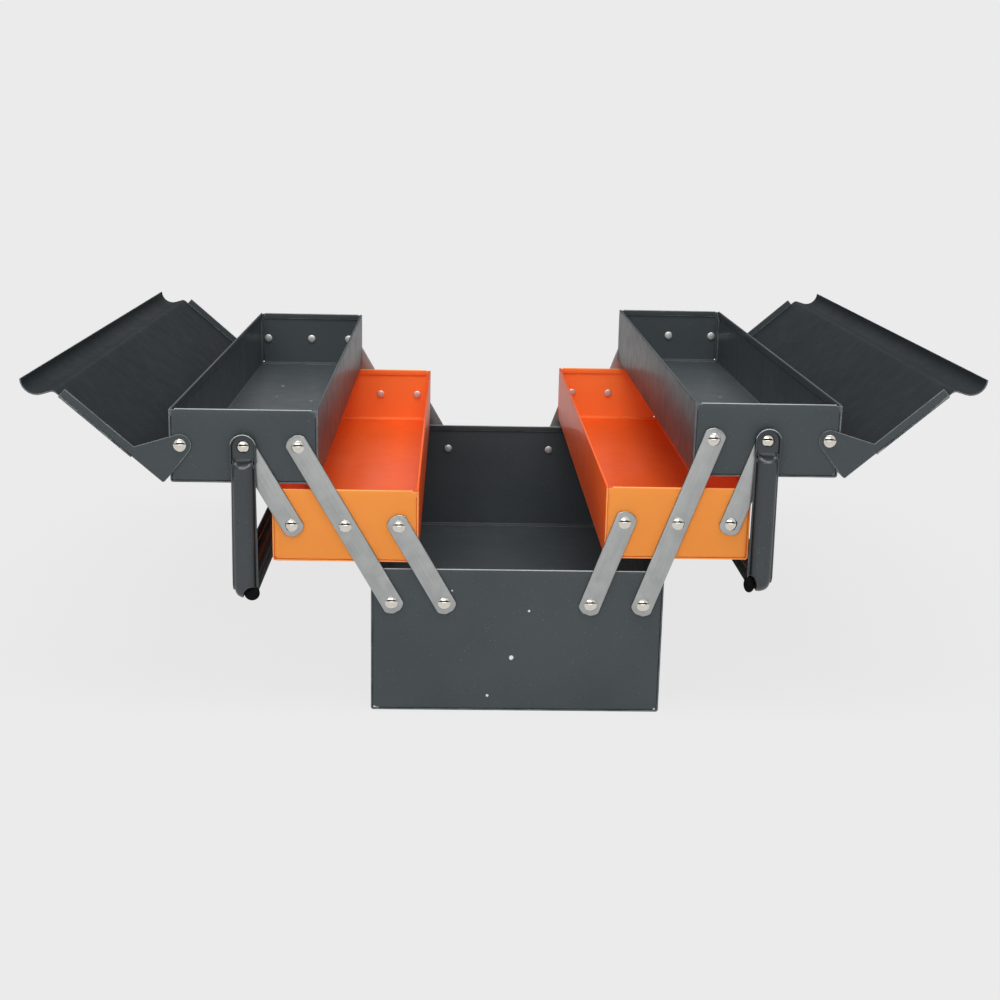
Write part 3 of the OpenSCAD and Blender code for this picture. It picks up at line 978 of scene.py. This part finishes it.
def seen_directly(node):
    """1 for the camera and for what metal and glass show, and 0 for light."""
    rays = node("LightPath").outputs
    seen = node("Math", {0: rays["Is Camera Ray"], 1: rays["Is Glossy Ray"]},
                operation="MAXIMUM")
    return node("Math", {0: seen, 1: rays["Is Transmission Ray"]}, operation="MAXIMUM")


# %% World
backdrop = linear("#EBEBEB")
world = bpy.data.worlds.new("studio")
bpy.context.scene.world = world
world.use_nodes = True
world.node_tree.nodes.clear()
node = partial(add_node, world.node_tree)
ambient = node("Background", {"Color": linear("#FFFFFF"), "Strength": 0.30})
shown = node("Background", {"Color": backdrop, "Strength": 1.0})
node("OutputWorld", {"Surface": node("MixShader", {0: seen_directly(node), 1: ambient, 2: shown})})
print("world ready")

# %% Floor
floor = add_primitive("circle", "floor", (0, 0, -0.2), (12000, 12000, 1), vertices=96,
                      fill_type="NGON")
floor_finish, node, place = start_material("pale studio floor")
distance = node("VectorMath", {0: place}, operation="LENGTH").outputs["Value"]
glow_share = node("MapRange", {"Value": distance, "From Min": 0.25, "From Max": 0.8,
                               "To Min": 0.93, "To Max": 1.0}, interpolation_type="SMOOTHSTEP")
share = node("Math", {0: seen_directly(node), 1: glow_share}, operation="MULTIPLY")
glow = node("Emission", {"Color": backdrop, "Strength": 1.0})
paper = node("BsdfDiffuse", {"Color": linear("#E2E2E2")})
node("OutputMaterial", {"Surface": node("MixShader", {0: share, 1: paper, 2: glow})})
floor.data.materials.append(floor_finish)
print("floor ready")

# %% Flags
# A photographer's black flag is seen only in reflections. A low one behind the camera draws the
# dark line across every polished dome. The others stand at the sides and behind, where they
# keep the pale background off paint that is seen at a slant, and so keep its colour deep.
flag_paint, node = start_material("black flag")[:2]
finish_material(flag_paint, node, {"Base Color": linear("#16181A"), "Roughness": 0.9})
flags = {
    "low_flag": ((0, -2300, 760), (7000, 860, 1), (90, 0, 0)),
    "rear_flag": ((0, 2900, 820), (9000, 1560, 1), (90, 0, 0)),
    "left_flag": ((-3000, 300, 1100), (2000, 4600, 1), (0, 90, 0)),
    "right_flag": ((3000, 300, 1100), (2000, 4600, 1), (0, 90, 0)),
}
for name, (place, span, turn) in flags.items():
    flag = add_primitive("plane", name, place, span, turn)
    flag.data.materials.append(flag_paint)
    for rays in ("camera", "diffuse", "shadow", "transmission"):
        setattr(flag, "visible_" + rays, False)
print(len(flags), "flags ready")

# %% Lamps
# Each is a soft box that faces the tool box: its place, width and height in metres, and watts.
aim = Vector((0, 0, 0.12))
lamps = {
    "overhead_soft_box": ((0.0, -0.5, 1.9), 1.6, 0.9, 26),
    "key_soft_box": ((-0.6, -2.3, 1.75), 2.2, 0.8, 20),
    "low_soft_box": ((0.0, -2.6, 0.5), 2.2, 0.7, 9),
    "left_soft_box": ((-2.2, -1.0, 0.9), 1.0, 1.0, 2),
    "right_soft_box": ((2.2, -1.0, 0.9), 1.0, 1.0, 2),
    "rear_soft_box": ((0.0, 2.5, 1.0), 2.0, 0.7, 3),
}
for name, (spot, width, height, watts) in lamps.items():
    data = bpy.data.lights.new(name, "AREA")
    data.shape = "RECTANGLE"
    data.size, data.size_y, data.energy = width, height, watts
    lamp = bpy.data.objects.new(name, data)
    lamp.location = spot
    lamp.rotation_euler = (aim - Vector(spot)).to_track_quat("-Z", "Y").to_euler()
    bpy.context.scene.collection.objects.link(lamp)
    print(name, "at", spot, watts, "W")

# %% [markdown]
# ## Powder coat
#
# The trays, lids and handles are sheet steel under a powder coat: a dry polyester powder,
# sprayed on and baked until it flows. It has the fine ripple known as orange peel and a semi-gloss
# shine. Its sharp edges are drawn paler as painted highlight, for the light they catch. Thin sheet
# is never quite flat either, and its slow waves bend the reflections. The ripple and the waves are
# bump, the edges for the painted highlight are found by comparing the surface with a rounded copy
# of itself, and the marks are spots at measured places.

# %% Parts of a powder coat
def painted_side_shade(node, most):
    """The share of painted shade: faces that turn away from the box's ends are darkened, as the
    sides of a rounded channel fall into shade."""
    normal = node("NewGeometry").outputs["Normal"]
    along_y = node("SeparateXYZ", {0: normal}).outputs["Y"]
    square = node("Math", {0: along_y}, operation="ABSOLUTE")
    return node("MapRange", {"Value": square, "From Min": 0.97, "From Max": 0.45, "To Max": most})


def painted_edge_highlight(node, smudges, most):
    """The share of painted highlight: a paler colour on sharp edges, for the light they catch. A
    sharp edge is where the rounded normal leaves the true one.
    """
    rounded = node("Bevel", {"Radius": 0.75 * MM}, samples=6)
    true_normal = node("NewGeometry").outputs["Normal"]
    alike = node("VectorMath", {0: rounded, 1: true_normal}, operation="DOT_PRODUCT")
    edge = node("MapRange", {"Value": alike.outputs["Value"], "From Min": 0.985,
                             "From Max": 0.90, "To Max": most})
    highlight_breakup = node("MapRange", {"Value": smudges, "From Min": 0.35, "From Max": 0.60,
                             "To Min": 0.35})
    return node("Math", {0: edge, 1: highlight_breakup}, operation="MULTIPLY")


def ragged_spots(node, place, marks):
    """1 on each mark, which is (x, y, z, radius) in millimetres, and 0 elsewhere."""
    ragged = node("TexNoise", {"Vector": place, "Scale": 1 / (1.5 * MM)})
    offset = node("MapRange", {"Value": ragged, "To Min": -0.9 * MM, "To Max": 0.9 * MM})
    cover = 0.0
    for x, y, z, radius in marks:
        away = node("VectorMath", {0: place, 1: (x * MM, y * MM, z * MM)}, operation="DISTANCE")
        away = node("Math", {0: away.outputs["Value"], 1: offset}, operation="ADD")
        spot = node("MapRange", {"Value": away, "From Min": (radius + 0.3) * MM,
                                 "From Max": (radius - 0.3) * MM})
        cover = node("Math", {0: cover, 1: spot}, operation="MAXIMUM")
    return cover


# %% Powder coat finish
def powder_coat(name, colour, clouded, thin, marks=(), mark_colour="#C9CCCD", edge_share=0.85,
                roughness=(0.40, 0.50), shine=0.16, coat=0.12, side_shade_share=0.0):
    """A semi-gloss powder coat, its tone laid over in layers of (share, colour)."""
    material, node, place = start_material(name)
    # Slow clouds of thicker and thinner paint, about 80 mm across, under handling marks of 14 mm.
    clouds = node("TexNoise", {"Vector": place, "Scale": 1 / (80 * MM), "Detail": 2.0})
    smudges = node("TexNoise", {"Vector": place, "Scale": 1 / (14 * MM), "Detail": 3.0})
    # Orange peel is about 1 mm across. It is drawn at 2.6 mm, so that it shows at this distance.
    peel = node("TexNoise", {"Vector": place, "Scale": 1 / (2.6 * MM), "Detail": 1.0})
    # Grains of unmelted powder, about 1.1 mm apart, show as single points of thin paint.
    grain = node("TexNoise", {"Vector": place, "Scale": 1 / (1.1 * MM), "Detail": 0.0})
    fleck = node("MapRange", {"Value": grain, "From Min": 0.74, "From Max": 0.84, "To Max": 0.20})
    layers = [(fleck, thin)]
    # Faces that turn away from the ends are darkened towards near black, as painted shade.
    if side_shade_share:
        layers.append((painted_side_shade(node, side_shade_share), "#121415"))
    # Sharp edges are lightened in the pale colour, as painted highlight.
    layers.append((painted_edge_highlight(node, smudges, edge_share), thin))
    if marks:
        layers.append((ragged_spots(node, place, marks), mark_colour))
    blend = node("MapRange", {"Value": clouds, "From Min": 0.32, "From Max": 0.68})
    tone = node("Mix", {"Factor": blend, 6: linear(clouded), 7: linear(colour)},
                data_type="RGBA")
    for share, layer in layers:
        tone = node("Mix", {"Factor": share, 6: tone.outputs[2], 7: linear(layer)},
                    data_type="RGBA")
    gloss = node("MapRange", {"Value": smudges, "From Min": 0.3, "From Max": 0.7,
                              "To Min": roughness[0], "To Max": roughness[1]})
    waves = node("Bump", {"Height": clouds, "Distance": 0.15 * MM})
    ripple = node("Bump", {"Height": peel, "Distance": 0.05 * MM, "Normal": waves})
    return finish_material(material, node, {
        "Base Color": tone.outputs[2], "Roughness": gloss, "Normal": ripple, "IOR": 1.5,
        "Specular IOR Level": shine, "Coat Weight": coat, "Coat Roughness": 0.16})


# %% Grey coats
# The grey is a charcoal with a cold cast. Chips on the base's front show bare primer, and the
# upper trays' floors carry a few pale spots where parts were dropped in.
chips = [(-3.3, front, 38.9, 1.5), (-19.6, front, 10.9, 0.8), (8.1, front, 72.8, 0.6),
         (-44.7, front, 86.7, 0.6), (-97.6, front, 1.6, 0.9), (-95.6, front, 1.2, 0.9),
         (97.3, front, 1.6, 0.8)]
dropped = [(-198.5, 119.0, 161.2, 1.5), (-198.4, 67.1, 161.2, 0.8), (-167.0, 48.0, 161.2, 1.1),
           (183.2, 46.6, 170.5, 1.2)]
charcoal = ("#454B4E", "#3F4548", "#A3A9AB")
grey = powder_coat("grey powder coat", *charcoal)
grey_floors = powder_coat("grey powder coat, spotted", *charcoal, dropped, "#B9BDBC")
grey_front = powder_coat("grey powder coat, chipped", *charcoal, chips, "#E3E5E4")
# The lids' inner faces have a duller coat, and its darker colour is painted shade.
dull = {"roughness": (0.55, 0.65), "shine": 0.05, "coat": 0.0}
lid_shade_grey = powder_coat("dull grey powder coat", "#272B2D", "#232729", "#7C8284", **dull)
# The handles are pressed smoother than the sheet and have the same coat with more gloss. Faces
# that turn away from the ends get painted shade, so that the channel looks round.
handle_grey = powder_coat("grey powder coat, glossier", "#393F42", "#363B3E", "#A3A9AB",
                          edge_share=0.3, roughness=(0.32, 0.40), shine=0.24, coat=0.4,
                          side_shade_share=0.75)
# Their sides towards the trays are darker still: painted shade for the shadow between handle and
# tray.
tray_side_shade = powder_coat("thin grey powder coat, screened from the spray", "#1C2021", "#191C1E",
                       "#6B7072", **dull)
# The inside of the channel near its corners and the tongues behind the notches are near black
# and dull: painted shade for the dark hollow.
hollow = powder_coat("thin grey coat in the handle's hollow", "#101113", "#0C0D0E", "#1B1D1F",
                     edge_share=0.2, roughness=(0.7, 0.8), shine=0.05, coat=0.0)

# %% Orange coats
# The end plates' outer faces are a clear orange. Inside the trays and along the shells orange
# faces orange, so the colour deepens; the redder coat there is painted bounce light. The end
# plates' inner faces lie between the two, with less of it.
orange = powder_coat("orange powder coat", "#EC913D", "#E88C38", "#FBC48C", edge_share=0.7,
                     coat=0.2)
inner = {"edge_share": 0.6, "shine": 0.12, "coat": 0.15}
orange_deep = powder_coat("orange powder coat, deep", "#FC6826", "#F66021", "#FF9A5C", **inner)
orange_inner = powder_coat("orange powder coat, warm", "#FF8440", "#FA7C39", "#FFA96C", **inner)

# %% Painted highlights on hems and pads
# The hems of the end plates and the tops of the pads' rims get a paler, glossier coat. The pale
# colour is painted highlight, for the light that their round edges catch.
highlight_grey = powder_coat("grey powder coat, rubbed pale", "#A9AEB0", "#989DA0", "#D5D8D9",
                          roughness=(0.25, 0.32))
highlight_orange = powder_coat("orange powder coat, rubbed", "#F5A55A", "#F0984A", "#FBC48C",
                            roughness=(0.28, 0.36))

# %% [markdown]
# ## Zinc and nickel
#
# The arms are blanked from cold-rolled strip and plated with zinc in a barrel. The strip's
# rolling leaves fine streaks along the arm, and the zinc is pale and a little cloudy. The sheared
# sides are rougher, and their dark colour is painted shade. The rivets are nickel plated and
# tumbled bright, so they mirror the studio.

# %% Zinc plate
def zinc_plate(name, colour, clouded, turn, roughness):
    """Zinc plate with its streaks along an arm that is turned about Y, in degrees."""
    material, node, place = start_material(name)
    # Rolling streaks are about 0.2 mm wide. They are drawn 0.9 mm wide and 35 mm long.
    along = node("Mapping", {"Vector": place, "Rotation": (0, math.radians(turn), 0),
                             "Scale": (35 * MM, 0.9 * MM, 0.9 * MM)}, vector_type="TEXTURE")
    streaks = node("TexNoise", {"Vector": along, "Scale": 1.0, "Detail": 2.0})
    # The plate's clouds are about 9 mm across, with finer spangle of 2 mm in them.
    clouds = node("TexNoise", {"Vector": place, "Scale": 1 / (9 * MM), "Detail": 3.0,
                               "Roughness": 0.6})
    blend = node("Math", {0: streaks, 1: 0.45, 2: 0.0}, operation="MULTIPLY_ADD")
    blend = node("Math", {0: clouds, 1: 0.55, 2: blend}, operation="MULTIPLY_ADD")
    blend = node("MapRange", {"Value": blend, "From Min": 0.36, "From Max": 0.64})
    tone = node("Mix", {"Factor": blend, 6: linear(clouded), 7: linear(colour)},
                data_type="RGBA")
    gloss = node("MapRange", {"Value": clouds, "From Min": 0.3, "From Max": 0.7,
                              "To Min": roughness[0], "To Max": roughness[1]})
    dents = node("Bump", {"Height": clouds, "Distance": 0.05 * MM})
    lines = node("Bump", {"Height": streaks, "Distance": 0.012 * MM, "Normal": dents})
    return finish_material(material, node, {
        "Base Color": tone.outputs[2], "Roughness": gloss, "Normal": lines, "Metallic": 1.0})


arm_turn = {side: -90 + k * lean[side] for side, k in out.items()}
zinc = {side: zinc_plate(f"zinc plate, {side} arms", "#B0B2B1", "#A0A3A2", arm_turn[side],
                         (0.30, 0.42)) for side in out}
# The sheared sides are rougher, and their dark colour is painted shade.
sheared = {side: zinc_plate(f"sheared zinc edge, {side} arms", "#5E605F", "#4A4C4B",
                            arm_turn[side], (0.5, 0.6)) for side in out}

# The closing tool dulls the plate on the rivets' inner heads, so these look matt and pale.
dulled = zinc_plate("nickel plate, dulled by the closing tool", "#E4E5E2", "#D2D3D0", 0,
                    (0.5, 0.6))

# %% Nickel plate
# Tumbling leaves hair scratches and a slight orange peel in the mirror.
nickel, node, place = start_material("tumbled nickel plate")
# The scratches are much finer than this. At 0.7 mm they still break up the mirror a little.
scratches = node("TexNoise", {"Vector": place, "Scale": 1 / (0.7 * MM), "Detail": 2.0,
                              "Distortion": 0.6})
blotches = node("TexNoise", {"Vector": place, "Scale": 1 / (2.5 * MM), "Detail": 1.0})
tone = node("Mix", {"Factor": blotches, 6: linear("#D2CDC3"), 7: linear("#E6E2DA")},
            data_type="RGBA")
gloss = node("MapRange", {"Value": scratches, "From Min": 0.3, "From Max": 0.7, "To Min": 0.04,
                          "To Max": 0.09})
dents = node("Bump", {"Height": blotches, "Distance": 0.03 * MM})
finish_material(nickel, node, {"Base Color": tone.outputs[2], "Roughness": gloss,
                               "Normal": dents, "Metallic": 1.0})

# %% Dress the pieces
def dress(piece, *finishes):
    """Fills a piece's material slots in their order."""
    for index, finish in enumerate(finishes):
        if index < len(piece.data.materials):
            piece.data.materials[index] = finish
        else:
            piece.data.materials.append(finish)


for piece in groups["grey"]:
    if piece.name.endswith("_plate"):
        outer = grey_front if piece.name == "base_front_plate" else grey
        dress(piece, grey, outer, highlight_grey)
    elif piece.name.endswith("_bail"):
        dress(piece, handle_grey, hollow, tray_side_shade, highlight_grey)
    elif piece.name.endswith("_lid"):
        dress(piece, grey, lid_shade_grey)
    elif "_upper_" in piece.name:
        dress(piece, grey_floors, grey)
    else:
        dress(piece, grey, grey)
for piece in groups["orange"]:
    inner = orange_inner if piece.name.endswith("_plate") else orange_deep
    dress(piece, inner, orange, highlight_orange)
for piece in groups["zinc"]:
    side = piece.name.split("_")[0]
    dress(piece, zinc[side], sheared[side])
for piece in groups["nickel"]:
    dress(piece, nickel, dulled)
print(len(bpy.data.materials), "materials in use")
